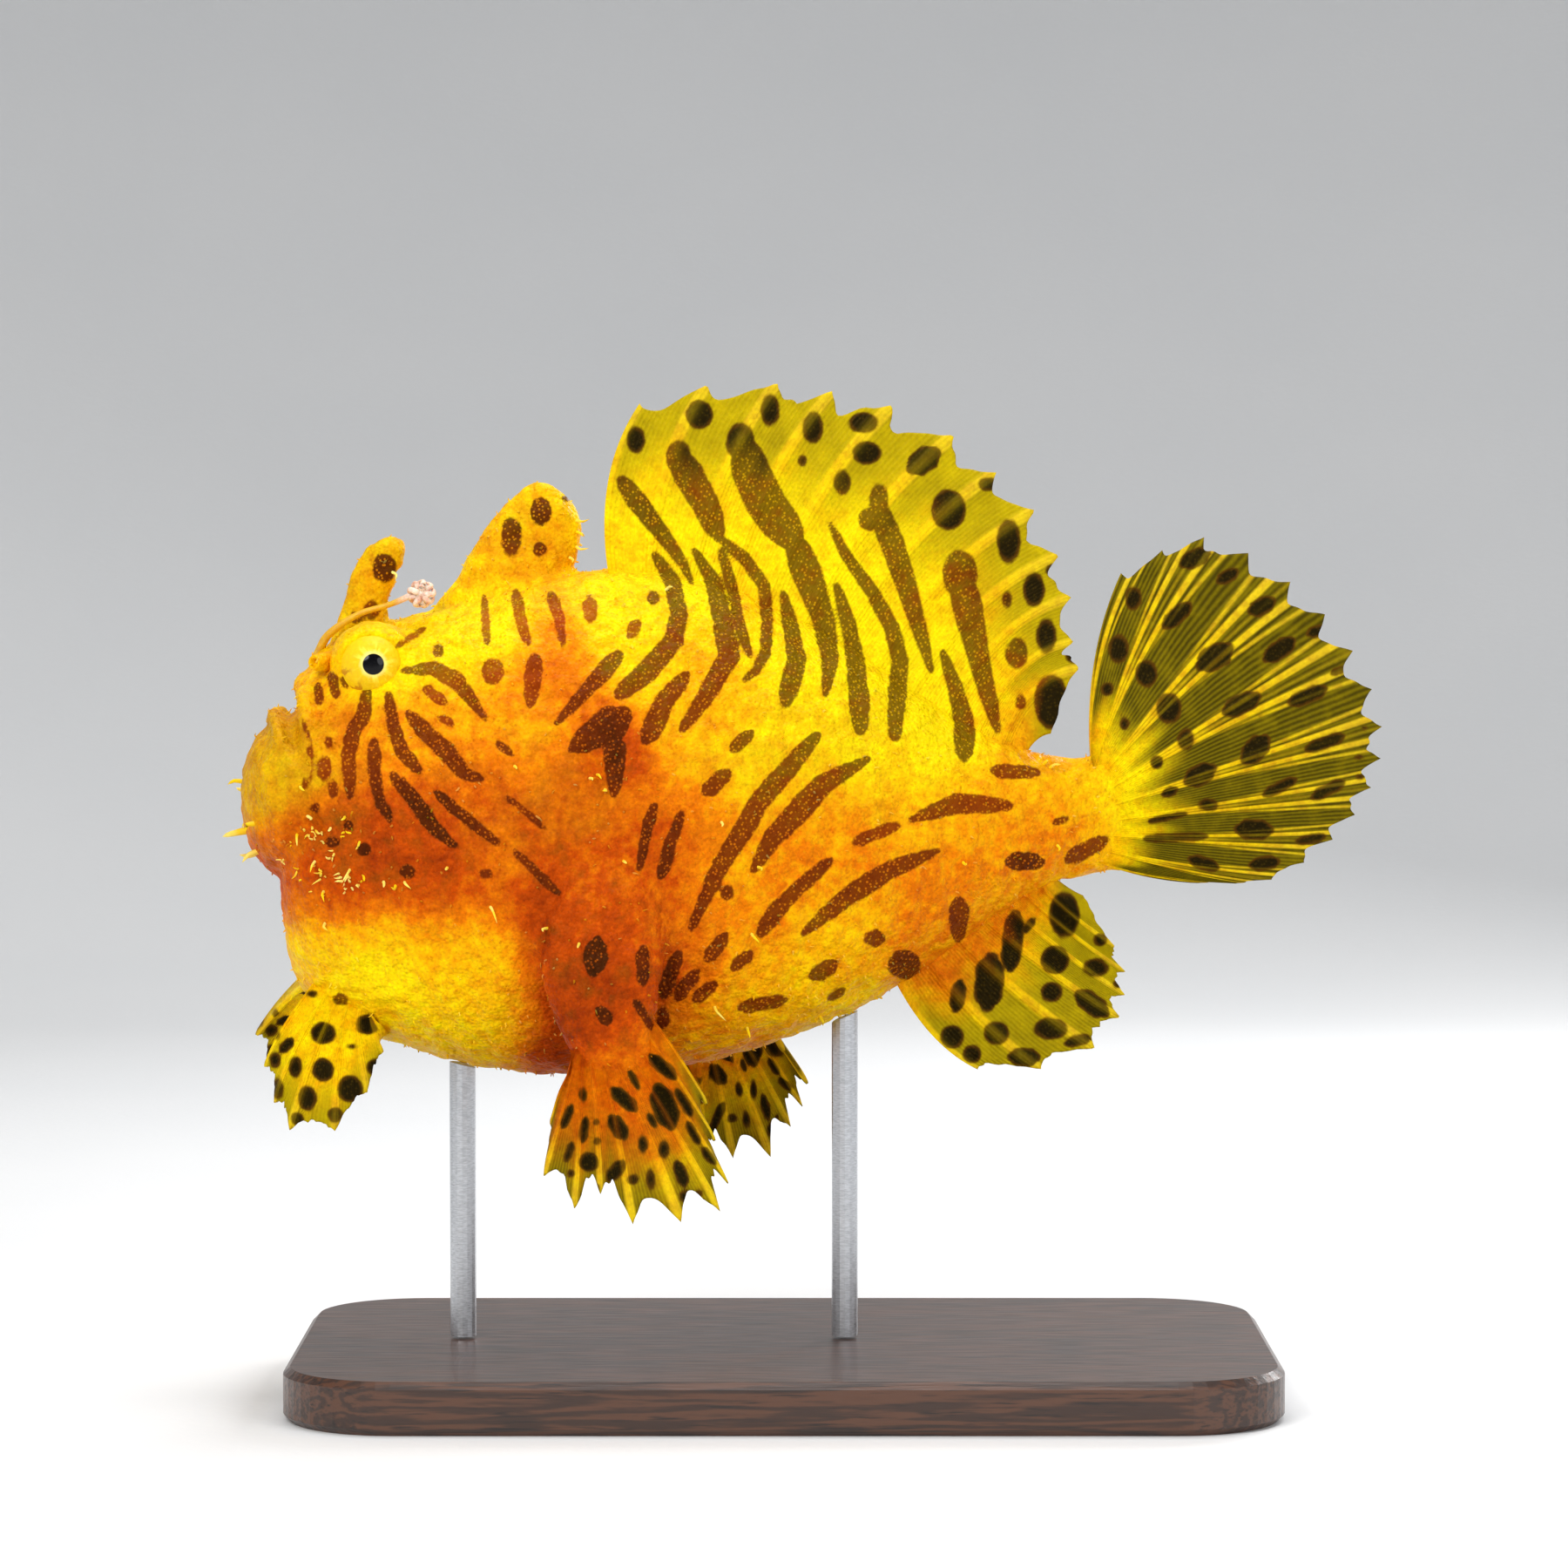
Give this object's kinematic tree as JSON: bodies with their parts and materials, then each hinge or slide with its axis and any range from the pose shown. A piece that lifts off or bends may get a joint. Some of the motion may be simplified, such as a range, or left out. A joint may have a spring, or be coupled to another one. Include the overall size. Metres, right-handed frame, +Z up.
{
  "type": "striated frogfish, still display model on a stand",
  "caption": "Life-size striated frogfish hovering side-on, mouth closed, lure laid back and fins spread, held by two rods on a flat base.",
  "frame": {"origin": "centre of the underside of the display base", "axes": "+X from the fish's mouth to its tail, +Z up, the fish's left side faces -Y"},
  "size_m": [0.1335, 0.064, 0.116],
  "materials": {
    "skin": "soft fish skin, yellow to deep orange with stippled brown stripes, moist and slightly rough",
    "fin_web": "thin olive-yellow fin web over bright yellow rays, with dark brown spots",
    "eye": "glossy, pale yellow ring round a small black pupil",
    "lure": "soft, pinkish white",
    "stand_base": "dark stained hardwood, satin varnish",
    "stand_rod": "satin"
  },
  "bodies": {
    "root": {"head": "skin", "lower_jaw": "skin", "torso": "skin", "tail_stalk": "skin", "eye_left": "eye", "eye_right": "eye", "lure": "lure", "dorsal_spine_second": "skin", "dorsal_spine_third": "skin", "dorsal_fin": "fin_web", "tail_fin": "fin_web", "anal_fin": "fin_web", "pectoral_arm_left": "skin", "pectoral_fin_left": "fin_web", "pectoral_arm_right": "skin", "pectoral_fin_right": "fin_web", "pelvic_fin_left": "fin_web", "pelvic_fin_right": "fin_web", "stand_base": "stand_base", "stand_rod_front": "stand_rod", "stand_rod_back": "stand_rod"}
  },
  "joints": []
}
